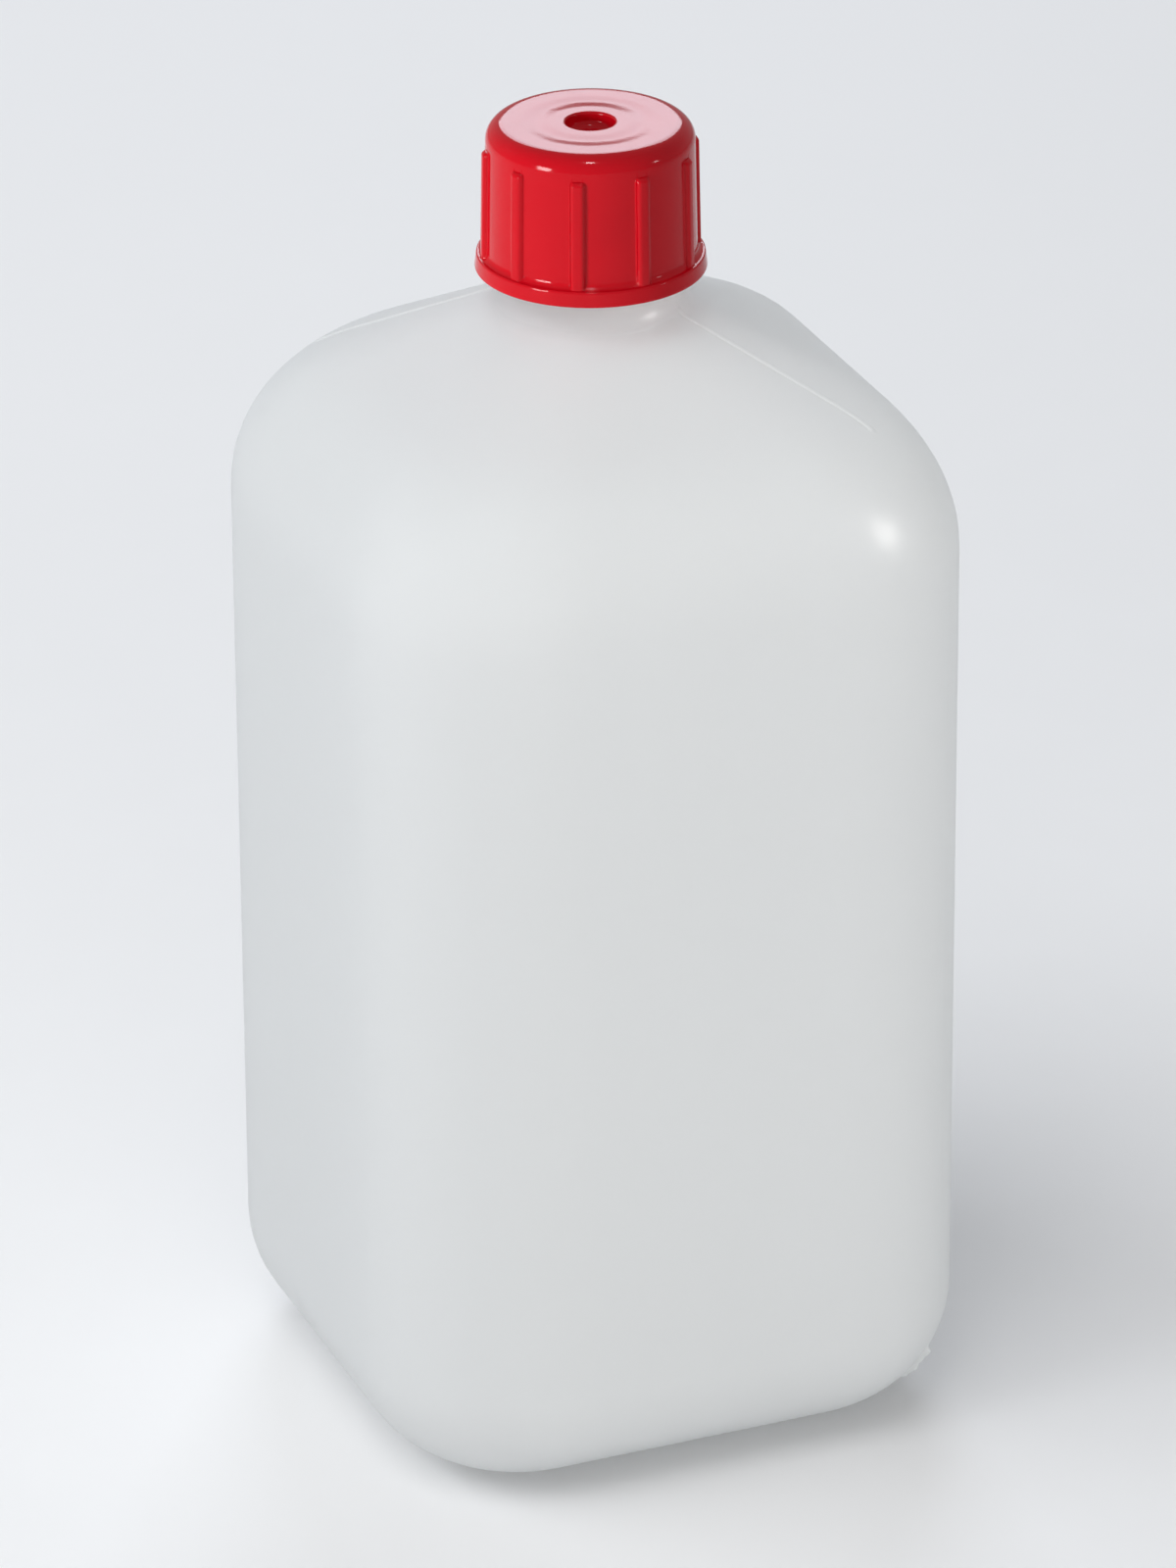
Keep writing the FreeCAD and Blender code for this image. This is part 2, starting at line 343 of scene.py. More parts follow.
def add_piece(name, bm, body, finish, node=None, crisp=40):
    """Turns a bmesh into a piece that rides on a body, smooth but for its crisp edges."""
    for face in bm.faces:
        face.smooth = True
    for edge in bm.edges:
        edge.smooth = edge.calc_face_angle(0) < math.radians(crisp)
    piece = mesh_object(name, bm, finish)
    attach(piece, body)
    if node:
        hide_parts(node)


# Form of the bottle

PUSH_UP_ROUND = 0.0008
COLLAR_ROUND = 0.0002
RIM_OUTER_ROUND = 0.0005
RIM_INNER_ROUND = 0.0003


class BottleForm:
    """Level outlines of the bottle, each a half width, a corner radius, a height and maybe a rounding."""

    def __init__(self, sizes):
        self.sizes = sizes
        self.half = sizes.side / 2
        self.slope = sizes.shoulder_slope
        self.arc_turn = math.pi / 2 - self.slope
        self.arc_centre = self.half - sizes.shoulder_radius
        self.arc_end_half = self.arc_centre + sizes.shoulder_radius * math.cos(self.arc_turn)
        self.arc_end_height = sizes.wall_height + sizes.shoulder_radius * math.sin(self.arc_turn)
        self.root = self.slope_height(sizes.collar_radius)
        self.crown_half = sizes.collar_radius - sizes.crown_inset
        self.crown_corner = self.crown_half - sizes.crown_flat / 2
        self.collar_top = self.root + sizes.collar_height
        self.rim = bottle_high.z
        spread = (sizes.corner_radius - self.crown_corner) / (self.half - self.crown_half)
        self.hip_rate = ROOT_TWO - (ROOT_TWO - 1) * spread
        self.hip_shift = (ROOT_TWO - 1) * (self.crown_corner - spread * self.crown_half)

    def slope_height(self, half):
        """Height of the hipped slope where it is half wide."""
        return self.arc_end_height + (self.arc_end_half - half) * math.tan(self.slope)

    def corner_at(self, half):
        """Corner radius of the shoulder, which tightens evenly from the walls to the neck."""
        return (ROOT_TWO * half - self.hip_rate * half + self.hip_shift) / (ROOT_TWO - 1)

    def base_edge(self, inset, steps):
        reach = self.sizes.base_edge_radius - inset
        for turn in quarter(steps):
            drop = reach * (1 - math.sin(turn))
            yield (self.half - inset - drop, self.sizes.corner_radius - inset - drop,
                   inset + reach * (1 - math.cos(turn)))

    def walls(self, steps):
        low, high = self.sizes.base_edge_radius, self.sizes.wall_height
        for step in range(1, steps):
            yield self.half, self.sizes.corner_radius, low + (high - low) * step / steps

    def shoulder_arc(self, inset, steps):
        for step in range(steps + 1):
            turn = self.arc_turn * step / steps
            outer = self.arc_centre + self.sizes.shoulder_radius * math.cos(turn)
            lean = inset * math.cos(turn)
            yield (outer - lean, self.corner_at(outer) - lean,
                   self.sizes.wall_height + (self.sizes.shoulder_radius - inset) * math.sin(turn))

    def hips(self, inset, end_half, steps):
        lean, drop = inset * math.sin(self.slope), inset * math.cos(self.slope)
        for step in range(1, steps + 1):
            outer = self.arc_end_half + (end_half - self.arc_end_half) * step / steps
            yield outer - lean, self.corner_at(outer) - lean, self.slope_height(outer) - drop

    def fillet_run(self, slope):
        """Length of a slope that the neck's fillet takes up."""
        return self.sizes.neck_fillet * math.tan((math.pi / 2 - slope) / 2)

    def fillet_reach(self, height, foot, slope):
        """Distance from the axis, at a height, of a slope that bends up into the neck."""
        collar, radius = self.sizes.collar_radius, self.sizes.neck_fillet
        run = self.fillet_run(slope)
        if height >= foot + run:
            return collar
        if height <= foot - run * math.sin(slope):
            return collar + (foot - height) / math.tan(slope)
        return collar + radius - math.sqrt(radius ** 2 - (foot + run - height) ** 2)

    def neck_foot(self, steps):
        """Outlines of the fillet, which turns the hipped square into the round neck."""
        hip_slope = math.atan(math.tan(self.slope) / self.hip_rate)
        hip_foot = self.slope_height((self.sizes.collar_radius + self.hip_shift) / self.hip_rate)
        low = self.root - self.fillet_run(self.slope) * math.sin(self.slope)
        high = hip_foot + self.fillet_run(hip_slope)
        for step in range(1, steps + 1):
            height = low + (high - low) * step / steps
            half = self.fillet_reach(height, self.root, self.slope)
            hip = self.fillet_reach(height, hip_foot, hip_slope)
            yield half, (ROOT_TWO * half - hip) / (ROOT_TWO - 1), height

    def push_up(self, outset):
        """Mouth and roof of the push-up under the base."""
        sizes = self.sizes
        half = self.half - sizes.base_edge_radius - sizes.ring_width + outset
        corner = sizes.recess_corner + outset
        depth = sizes.recess_depth + outset
        share = outset / depth
        mouth = (half - sizes.recess_run * share, corner - sizes.recess_run * share, outset, PUSH_UP_ROUND)
        roof = (half - sizes.recess_run, corner - sizes.recess_run, depth, PUSH_UP_ROUND)
        return mouth, roof

    def outlines(self):
        """All outlines of the shell: up the outside, over the rim and down the inside."""
        sizes, wall = self.sizes, self.sizes.wall_thickness
        mouth, roof = self.push_up(0)
        yield roof
        yield mouth
        yield from self.base_edge(inset=0, steps=14)
        yield from self.walls(steps=8)
        yield from self.shoulder_arc(inset=0, steps=14)
        fillet_start = sizes.collar_radius + self.fillet_run(self.slope) * math.cos(self.slope)
        yield from self.hips(inset=0, end_half=fillet_start, steps=9)
        yield from self.neck_foot(steps=14)
        collar, neck, bore = sizes.collar_radius, sizes.neck_radius, sizes.bore_radius
        yield collar, collar, self.collar_top, COLLAR_ROUND
        yield neck, neck, self.collar_top + collar - neck, COLLAR_ROUND
        yield neck, neck, self.rim, RIM_OUTER_ROUND
        yield bore, bore, self.rim, RIM_INNER_ROUND
        crown = list(self.hips(inset=wall, end_half=self.crown_half, steps=4))
        yield bore, bore, crown[-1][2]
        yield from reversed(crown)
        yield from reversed(list(self.shoulder_arc(inset=wall, steps=8)))
        yield from reversed(list(self.base_edge(inset=wall, steps=8)))
        mouth, roof = self.push_up(wall)
        yield mouth
        yield roof


# Shares of a bead's half width where the shell is cut, and the share that keeps its full height
BEAD_CUTS = (0.55, 0.66, 0.78, 0.89, 1.0, 1.08, 1.7)
BEAD_TOP = 0.55
# Distances back from a bead's tip where it is cut, and the run over which the tip rises
TIP_CUTS = (0.0, 0.00008, 0.0002, 0.0004, 0.0006)
TIP_RUN = 0.0006
# Distances out from the collar between which a bead rises from the neck's fillet
BEAD_RISE = (0.0002, 0.0026)
# Width of the strip that marks are cut into, in half widths of a bead
MARK_STRIP = 1.3
# Cuts along a fin, its raggedness, and the shares of it that its ends and flanks take
FIN_STEPS = 12
FIN_RAGGED = 0.28
FIN_LOW_END = 0.16
FIN_HIGH_END = 0.08
FIN_FLANK = 0.35
# Ripples along a fin's crest, their shift from side to side and their swell, in radians
FIN_RIPPLES = 19
FIN_SHIFT = 90
FIN_SWELL = 7
# Play for points on a level or on a mark's edge, as a share
SLACK = 0.01


def outside_verts(bm, low, high, lean):
    """Outside vertices between two heights, with distances across and along the parting."""
    for vert in bm.verts:
        outwards = Vector((vert.co.x, vert.co.y, 0)).normalized() + UP * lean
        if low <= vert.co.z <= high and vert.normal.dot(outwards) > 0.2:
            yield vert, vert.co.dot(ACROSS_PARTING), abs(vert.co.dot(ALONG_PARTING))


def parting_faces(bm, width, low, high):
    """Faces within a width of the parting plane and between two heights."""
    found = []
    for face in bm.faces:
        middle = face.calc_center_median()
        if abs(middle.dot(ACROSS_PARTING)) < width and low <= middle.z <= high:
            found.append(face)
    return found


def cut_parting_marks(bm, form):
    """Cuts the shell along the edges and steps of the beads and fins."""
    sizes = form.sizes
    reach = sizes.bead_width / 2
    strip = reach * MARK_STRIP
    for share in BEAD_CUTS:
        for side in (-share, share):
            cut_faces(bm, list(bm.faces), ACROSS_PARTING * side * reach, ACROSS_PARTING)
    for side in (-1, 1):
        for back in TIP_CUTS:
            faces = parting_faces(bm, strip, sizes.wall_height, form.collar_top)
            cut_faces(bm, faces, ALONG_PARTING * side * (sizes.bead_reach - back), ALONG_PARTING)
    for step in range(FIN_STEPS + 1):
        height = sizes.tail_low + (sizes.tail_high - sizes.tail_low) * step / FIN_STEPS
        faces = parting_faces(bm, strip, sizes.tail_low / 2, sizes.tail_high * 1.5)
        cut_faces(bm, faces, UP * height, UP)


def bead_rise(sizes, across, along):
    """Share of a bead's height at distances across and along the parting."""
    tip = min(1.0, (sizes.bead_reach - along) / TIP_RUN)
    crown = 1 - smoothstep(BEAD_TOP, 1.0, abs(across) / (sizes.bead_width / 2))
    near, far = (sizes.collar_radius + distance for distance in BEAD_RISE)
    return crown * math.sqrt(max(0.0, 1 - (1 - tip) ** 2)) * smoothstep(near, far, along)


def fin_rise(sizes, place, across):
    """Share of a fin's height at a place on it."""
    share = (place.z - sizes.tail_low) / (sizes.tail_high - sizes.tail_low)
    wave = share * FIN_RIPPLES + place.x * FIN_SHIFT
    ragged = 1 - FIN_RAGGED + FIN_RAGGED * math.sin(wave) * math.cos(share * FIN_SWELL)
    ends = min(1.0, share / FIN_LOW_END) * min(1.0, (1 - share) / FIN_HIGH_END)
    flank = min(1.0, (1 - abs(across) / (sizes.bead_width / 2)) / FIN_FLANK)
    return ragged * ends * flank


def raise_parting_marks(bm, form):
    """Raises the beads on two hips and the fins on the base edge."""
    sizes = form.sizes
    edge = sizes.bead_width / 2 * (1 + SLACK)
    bm.normal_update()
    moves = []
    for vert, across, along in outside_verts(bm, sizes.wall_height, form.collar_top, lean=0.5):
        if abs(across) < edge and along < sizes.bead_reach:
            moves.append((vert, sizes.bead_height * bead_rise(sizes, across, along)))
    for vert, across, along in outside_verts(bm, sizes.tail_low, sizes.tail_high, lean=-0.5):
        if abs(across) < edge:
            moves.append((vert, sizes.tail_height * fin_rise(sizes, vert.co, across)))
    for vert, height in moves:
        vert.co += vert.normal * height


def raise_weld(bm, form):
    """Raises the weld line across the roof of the push-up under the base."""
    sizes = form.sizes
    half_width, depth = sizes.weld_width / 2, sizes.recess_depth
    levels = depth * (1 - SLACK), depth * (1 + SLACK)
    roof_reach = form.half - sizes.base_edge_radius - sizes.ring_width - sizes.recess_run
    for side in (-1, 1):
        roof = parting_faces(bm, half_width, *levels)
        cut_faces(bm, roof, ALONG_PARTING * side * roof_reach, ALONG_PARTING)
    roof = parting_faces(bm, half_width, *levels)
    strip = [face for face in roof if abs(face.calc_center_median().dot(ALONG_PARTING)) < roof_reach]
    raised = bmesh.ops.extrude_face_region(bm, geom=strip)["geom"]
    bmesh.ops.delete(bm, geom=strip, context="FACES")
    bmesh.ops.translate(bm, vec=-UP * sizes.weld_height, verts=of_kind(raised, bmesh.types.BMVert))


def bottle_mesh(sizes):
    """The hollow bottle as one closed shell."""
    form = BottleForm(sizes)
    bm = bmesh.new()
    loft(bm, list(form.outlines()))
    divide_flats(bm, FLAT_CUTS)
    close_up(bm)
    cut_parting_marks(bm, form)
    raise_parting_marks(bm, form)
    raise_weld(bm, form)
    close_up(bm)
    return bm


# Form of the cap, the threads and the seal

DIMPLE_FLOOR_ROUND = 0.0012
INNER_ROUND = 0.0003
MOUTH_ROUND = 0.0004
MOUTH_CHAMFER = 0.0005
PLUG_CHAMFER = 0.0004
# Share of a rib's rounding by which its flank leans out
RIB_LEAN = 0.06
# Segments of a rib's crest, root and top end, and of half the skirt between two ribs
CREST_STEPS = 5
ROOT_STEPS = 4
RIB_END_STEPS = 8
GAP_STEPS = 6
# Play for finding the points of the skirt's outside
SKIRT_PLAY = 0.0004
# Depth of a thread's root in its wall, and the turns over which its ends run out
THREAD_SINK = 0.00015
THREAD_RUN_OUT = 0.12
THREAD_STEPS = 72
# Share of a thread's crest that each of its edges rounds off
CREST_ROUND = 0.35
# Widths of a thread at its root and at its crest
NECK_THREAD_WIDTHS = (0.0016, 0.0007)
CAP_THREAD_WIDTHS = (0.0014, 0.0006)
SEAL_BORE = 0.0096
SEAL_INNER_ROUND = 0.00012
SEAL_OUTER_ROUND = 0.0002
SEAL_STEPS = 96


def skirt_radius_at(sizes, height):
    """Outside radius of the drafted skirt."""
    return sizes.mouth_radius + sizes.wall + (cap_high.z - sizes.edge_radius - height) * math.tan(sizes.draft)


def cap_corners(sizes):
    """Corners of the cap's section with their roundings, from the dimple to the boss under it."""
    top, bottom, under = cap_high.z, cap_low.z, cap_high.z - sizes.plate
    ledge = bottom + sizes.flange_height
    skirt = skirt_radius_at(sizes, ledge)
    flange = skirt + sizes.flange_overhang
    dimple_floor = top - sizes.dimple_depth
    dimple_foot = sizes.dimple_radius - sizes.dimple_depth * math.tan(sizes.dimple_draft)
    boss, boss_low = sizes.dimple_radius + sizes.dimple_wall, dimple_floor - sizes.dimple_wall
    mouth, plug = sizes.mouth_radius, sizes.plug_radius
    plug_inside, plug_low = plug - sizes.plug_wall, under - sizes.plug_depth
    return [
        (0, dimple_floor, 0),
        (dimple_foot, dimple_floor, DIMPLE_FLOOR_ROUND),
        (sizes.dimple_radius, top, INNER_ROUND),
        (skirt_radius_at(sizes, top), top, sizes.edge_radius),
        (skirt, ledge, sizes.flange_fillet),
        (flange - sizes.flange_flare, ledge, sizes.flange_round),
        (flange, bottom, sizes.flange_round),
        (mouth + MOUTH_CHAMFER, bottom, 0),
        (mouth, bottom + MOUTH_CHAMFER, 0),
        (mouth, under, MOUTH_ROUND),
        (plug, under, INNER_ROUND),
        (plug, plug_low + PLUG_CHAMFER, 0),
        (plug - PLUG_CHAMFER, plug_low, 0),
        (plug_inside, plug_low, 0),
        (plug_inside, under, INNER_ROUND),
        (boss, under, INNER_ROUND),
        (boss, boss_low, INNER_ROUND),
        (0, boss_low, 0),
    ]


def rib_flank(sizes):
    """Distance from the middle of a rib to the foot of its flank."""
    return sizes.rib_width / 2 + sizes.rib_round * RIB_LEAN


def rib_offsets(sizes):
    """Distances from the middle of a rib to the points on one side of its section."""
    flat, bend, root = sizes.rib_width / 2 - sizes.rib_round, sizes.rib_round, sizes.rib_root
    crest = [flat + bend * math.sin(turn) for turn in quarter(CREST_STEPS)]
    foot = [rib_flank(sizes) + root - root * math.cos(turn) for turn in quarter(ROOT_STEPS)]
    return [0, flat / 2] + crest + foot


def rib_rise(sizes, offset, height):
    """How far a rib stands out at a distance from its middle and at a height."""
    half, bend, root, proud = sizes.rib_width / 2, sizes.rib_round, sizes.rib_root, sizes.rib_height
    flank = rib_flank(sizes)
    if offset <= half - bend:
        rise = proud
    elif offset <= half:
        rise = proud - bend + math.sqrt(max(0.0, bend ** 2 - (offset - half + bend) ** 2))
    elif offset < flank + root:
        rise = root - math.sqrt(max(0.0, root ** 2 - (flank + root - max(offset, flank)) ** 2))
    else:
        rise = 0.0
    over = height - (cap_high.z - sizes.rib_drop - proud)
    if over > 0:
        rise -= proud - math.sqrt(max(0.0, proud ** 2 - over ** 2))
    return max(0.0, rise)


def cap_mesh(sizes):
    """The cap: one sector with its rib, spun round."""
    bm = bmesh.new()
    section(bm, cap_corners(sizes))
    high = cap_high.z - sizes.rib_drop
    for turn in quarter(RIB_END_STEPS):
        height = high - sizes.rib_height * (1 - math.sin(turn))
        cut(bm, list(bm.edges) + list(bm.verts), UP * height, UP)
    skirt = sizes.mouth_radius + sizes.wall
    sector = 2 * math.pi / sizes.rib_count
    near = [offset / skirt for offset in rib_offsets(sizes)]
    gap = sector / 2 - near[-1]
    half_turns = near + [near[-1] + gap * step / GAP_STEPS for step in range(1, GAP_STEPS + 1)]
    turns = [-turn for turn in reversed(half_turns)] + half_turns[1:]
    turn_all(bm, turns[0])
    last = list(bm.edges)
    for here, there in zip(turns, turns[1:]):
        last = spin(bm, last, there - here, 1)["geom_last"]
    ledge = cap_low.z + sizes.flange_height
    for vert in bm.verts:
        reach = math.hypot(vert.co.x, vert.co.y)
        if reach > skirt - SKIRT_PLAY and ledge - MERGE <= vert.co.z <= high:
            offset = abs(math.atan2(vert.co.y, vert.co.x)) * skirt
            target = skirt_radius_at(sizes, vert.co.z) + rib_rise(sizes, offset, vert.co.z)
            if target > reach:
                vert.co.xy *= target / reach
    turn_all(bm, sizes.rib_phase)
    everything = list(bm.verts) + list(bm.edges) + list(bm.faces)
    spin(bm, everything, sector * (sizes.rib_count - 1), sizes.rib_count - 1, use_duplicate=True)
    close_up(bm)
    return bm


def thread_mesh(pitch, root, crest, low, turns, base, top):
    """A helical ridge from root to crest, base wide at its root, whose ends run out into the wall."""
    bm = bmesh.new()
    corners = [(root, -base / 2), (crest, -top / 2), (crest, top / 2), (root, base / 2)]
    verts = [bm.verts.new((radius, 0, low + height)) for radius, height in corners]
    bm.faces.new(verts)
    bevel(bm, verts[1:3], top * CREST_ROUND, 4, "VERTICES")
    steps = round(THREAD_STEPS * turns)
    last = spin(bm, list(bm.edges), 2 * math.pi * turns, steps, rise=pitch * turns)["geom_last"]
    bmesh.ops.edgeloop_fill(bm, edges=of_kind(last, bmesh.types.BMEdge))
    close_up(bm)
    for vert in bm.verts:
        turn = math.atan2(vert.co.y, vert.co.x) / (2 * math.pi) % 1
        lap = round((vert.co.z - low) / pitch - turn) + turn
        reach = math.hypot(vert.co.x, vert.co.y)
        full = smoothstep(0, THREAD_RUN_OUT, lap) * smoothstep(0, THREAD_RUN_OUT, turns - lap)
        vert.co.xy *= (root + (reach - root) * full) / reach
    return bm


def seal_mesh():
    """The flat ring, with its cut edges slightly broken."""
    bm = bmesh.new()
    edges = section(bm, [
        (SEAL_BORE, seal_low.z, SEAL_INNER_ROUND),
        (seal_high.x, seal_low.z, SEAL_OUTER_ROUND),
        (seal_high.x, seal_high.z, SEAL_OUTER_ROUND),
        (SEAL_BORE, seal_high.z, SEAL_INNER_ROUND),
    ])
    spin(bm, edges, 2 * math.pi, SEAL_STEPS, use_merge=True)
    close_up(bm)
    return bm


# Finishes

def both_ways(operation):
    """The method of an operator on values, and the method of its reflected form."""
    def straight(value, other):
        return value.math(operation, value, other)

    def reflected(value, other):
        return value.math(operation, other, value)

    return straight, reflected


class Value:
    """A socket of a node tree; arithmetic on it adds Math nodes."""

    def __init__(self, nodes, socket):
        self.nodes = nodes
        self.socket = socket

    def math(self, operation, first, second=0.0):
        return self.nodes.add("ShaderNodeMath", {"operation": operation}, {0: first, 1: second})

    __add__, __radd__ = both_ways("ADD")
    __sub__, __rsub__ = both_ways("SUBTRACT")
    __mul__, __rmul__ = both_ways("MULTIPLY")
    __pow__, __rpow__ = both_ways("POWER")

    def __abs__(self):
        return self.math("ABSOLUTE", self)


class Nodes:
    """A node tree, and the one method that adds nodes to it."""

    def __init__(self, tree):
        self.tree = tree

    def feed(self, socket, value):
        if isinstance(value, Value):
            self.tree.links.new(value.socket, socket)
        else:
            socket.default_value = value

    def add(self, kind, settings=None, inputs=None, output=0):
        """Adds a node with its settings, fills or links its sockets, and returns one output."""
        node = self.tree.nodes.new(kind)
        for key, value in (settings or {}).items():
            setattr(node, key, value)
        for key, value in (inputs or {}).items():
            self.feed(node.inputs[key], value)
        return Value(self, node.outputs[output])

    def seen(self):
        """1 for rays that show a thing, also mirrored or through glass, and 0 for scattered light."""
        kinds = ("Camera", "Glossy", "Transmission", "Diffuse")
        camera, glossy, through, scattered = (
            self.add("ShaderNodeLightPath", output=f"Is {kind} Ray") for kind in kinds)
        return camera + glossy + through * (1 - scattered)


class Finish(Nodes):
    """A node material with one plastic surface."""

    def __init__(self, name):
        self.material = bpy.data.materials.new(name)
        self.material.use_nodes = True
        super().__init__(self.material.node_tree)
        self.surface = self.tree.nodes["Principled BSDF"]

    def set(self, **inputs):
        """Sets or links sockets of the surface; underscores stand for spaces."""
        for key, value in inputs.items():
            self.feed(self.surface.inputs[key.replace("_", " ")], value)

    def blend(self, share, other):
        """Gives a share of the surface to another shader."""
        surface = Value(self, self.surface.outputs[0])
        both = self.add("ShaderNodeMixShader", {}, {0: share, 1: surface, 2: other})
        self.feed(self.tree.nodes["Material Output"].inputs["Surface"], both)

    def place(self, scale=(1, 1, 1)):
        """Object coordinates, stretched by a scale."""
        coordinates = self.add("ShaderNodeTexCoord", output="Object")
        return self.add("ShaderNodeMapping", {}, {"Vector": coordinates, "Scale": scale})

    def noise(self, scale, detail, stretch=(1, 1, 1)):
        inputs = {"Vector": self.place(stretch), "Scale": scale, "Detail": detail}
        return self.add("ShaderNodeTexNoise", {}, inputs)

    def around_and_up(self):
        """Distance from the axis, and height."""
        coordinates = self.add("ShaderNodeTexCoord", output="Object")
        x, y, z = (self.add("ShaderNodeSeparateXYZ", {}, {0: coordinates}, axis) for axis in "XYZ")
        return (x * x + y * y) ** 0.5, z

    def ramp(self, value, low, high):
        """Smooth step from 0 to 1 as a value goes from low to high."""
        return self.add(
            "ShaderNodeMapRange", {"interpolation_type": "SMOOTHSTEP"},
            {"Value": value, "From Min": low, "From Max": high})

    def mix(self, factor, first, second):
        """Blend of two colours."""
        return self.add(
            "ShaderNodeMix", {"data_type": "RGBA"}, {0: factor, 6: first, 7: second}, output=2)

    def bump(self, height, distance, normal=None):
        inputs = {"Strength": 1.0, "Distance": distance, "Height": height}
        if normal:
            inputs["Normal"] = normal
        return self.add("ShaderNodeBump", {}, inputs)


def tint(base, factor):
    """A colour made lighter or darker."""
    return tuple(min(1.0, part * factor) for part in base) + (1.0,)


def milky_polyethylene(colours, sizes):
    """Natural polyethylene as blown: satin, milky and translucent."""
    finish = Finish("milky_polyethylene")
    cloud = finish.noise(14, 1)
    streak = finish.noise(1, 1, stretch=(110, 110, 4))
    tone = finish.ramp(cloud * 0.6 + streak * 0.4, 0.25, 0.75)
    milk = finish.mix(tone, tint(colours.bottle, 0.992), tint(colours.bottle, 1.004))
    around, z = finish.around_and_up()
    # A faint broken line that the mould's neck insert left round the foot of the neck
    insert_radius = sizes.collar_radius + 0.001
    line = 1 - finish.ramp(abs(around - insert_radius), 0.00006, 0.00022)
    line = line * finish.ramp(z, sizes.wall_height, sizes.wall_height + 0.01) * finish.ramp(cloud, 0.5, 0.62)
    wave = finish.bump(finish.noise(16, 1), 0.00035)
    skin = finish.bump(line, 0.00003, wave)
    finish.set(
        Base_Color=milk,
        Roughness=0.285 + 0.06 * finish.noise(60, 2),
        IOR=1.5,
        Specular_IOR_Level=1.0,
        Normal=skin,
    )
    glow = {"Color": tint(colours.bottle, 0.998), "Normal": skin}
    finish.blend(colours.see_through, finish.add("ShaderNodeBsdfTranslucent", {}, glow))
    return finish.material


def glossy_red_plastic(colours, sizes):
    """Injection-moulded red plastic: glossy, with a faint sink ring on the plate."""
    finish = Finish("glossy_red_plastic")
    tone = finish.noise(160, 2)
    around, z = finish.around_and_up()
    # The sink ring shows only on top of the plate
    sink = 1 - finish.ramp(abs(around - sizes.sink_radius), 0.0, 0.0024)
    sink = sink * finish.ramp(z, cap_high.z - 0.0004, cap_high.z - 0.0001)
    grain = finish.bump(finish.noise(700, 2), 0.000006)
    finish.set(
        Base_Color=finish.mix(tone, tint(colours.cap, 0.94), tint(colours.cap, 1.05)),
        Roughness=0.07 + 0.06 * finish.noise(420, 3),
        IOR=1.49,
        Specular_IOR_Level=0.2,
        Normal=finish.bump(1 - sink, 0.00006, grain),
    )
    return finish.material


def white_foam(colours):
    """Foamed polyethylene sheet: matt, with fine closed cells."""
    finish = Finish("white_foam")
    cells = finish.add("ShaderNodeTexVoronoi", {}, {"Vector": finish.place(), "Scale": 3200}, "Distance")
    shade = finish.ramp(cells, 0.1, 0.7)
    finish.set(
        Base_Color=finish.mix(shade, tint(colours.seal, 0.9), tint(colours.seal, 1.03)),
        Roughness=0.75 + 0.15 * finish.noise(900, 2),
        Subsurface_Weight=0.4,
        Subsurface_Scale=0.001,
        Normal=finish.bump(cells, 0.00008),
    )
    return finish.material


def pale_floor(colours, bounce):
    """Satin pale sheet that throws back less light than it shows."""
    finish = Finish("pale_floor")
    sheet = finish.mix(finish.noise(4, 2), tint(colours.floor, 0.985), tint(colours.floor, 1.01))
    finish.set(
        Base_Color=finish.mix(finish.seen(), tint(colours.floor, bounce), sheet),
        Roughness=0.5 + 0.08 * finish.noise(60, 2),
        Specular_IOR_Level=0.3,
    )
    return finish.material


def finish_from(make, *settings):
    """The finish that a function of the same name makes, made once."""
    return bpy.data.materials.get(make.__name__) or make(*settings)


# Operators

class BOTTLE_OT_shell(bpy.types.Operator):
    """Model the hollow bottle with its parting beads, pinched fins and push-up"""
    bl_idname = "square_bottle.shell"
    bl_label = "Bottle Shell"

    def execute(self, context):
        scene = context.scene
        sizes = scene.bottle_sizes
        finish = finish_from(milky_polyethylene, scene.bottle_finishes, sizes)
        add_piece("bottle_shell", bottle_mesh(sizes), "bottle", finish, "bottle", crisp=50)
        return {"FINISHED"}


class BOTTLE_OT_neck_thread(bpy.types.Operator):
    """Model the thread on the neck"""
    bl_idname = "square_bottle.neck_thread"
    bl_label = "Neck Thread"

    def execute(self, context):
        scene = context.scene
        thread, sizes = scene.bottle_threads, scene.bottle_sizes
        finish = finish_from(milky_polyethylene, scene.bottle_finishes, sizes)
        root = sizes.neck_radius - THREAD_SINK
        bm = thread_mesh(
            thread.pitch, root, thread.neck_crest, thread.neck_low, thread.neck_turns, *NECK_THREAD_WIDTHS)
        add_piece("neck_thread", bm, "bottle", finish)
        return {"FINISHED"}


class BOTTLE_OT_cap(bpy.types.Operator):
    """Model the ribbed and flanged cap"""
    bl_idname = "square_bottle.cap"
    bl_label = "Screw Cap"

    def execute(self, context):
        scene = context.scene
        finish = finish_from(glossy_red_plastic, scene.bottle_finishes, scene.bottle_cap)
        add_piece("cap_shell", cap_mesh(scene.bottle_cap), "cap", finish, "screw_cap")
        return {"FINISHED"}


class BOTTLE_OT_cap_thread(bpy.types.Operator):
    """Model the thread inside the cap"""
    bl_idname = "square_bottle.cap_thread"
    bl_label = "Cap Thread"

    def execute(self, context):
        scene = context.scene
        thread, cap = scene.bottle_threads, scene.bottle_cap
        finish = finish_from(glossy_red_plastic, scene.bottle_finishes, cap)
        root = cap.mouth_radius + THREAD_SINK
        bm = thread_mesh(
            thread.pitch, root, thread.cap_crest, thread.cap_low, thread.cap_turns, *CAP_THREAD_WIDTHS)
        add_piece("cap_thread", bm, "cap", finish)
        return {"FINISHED"}


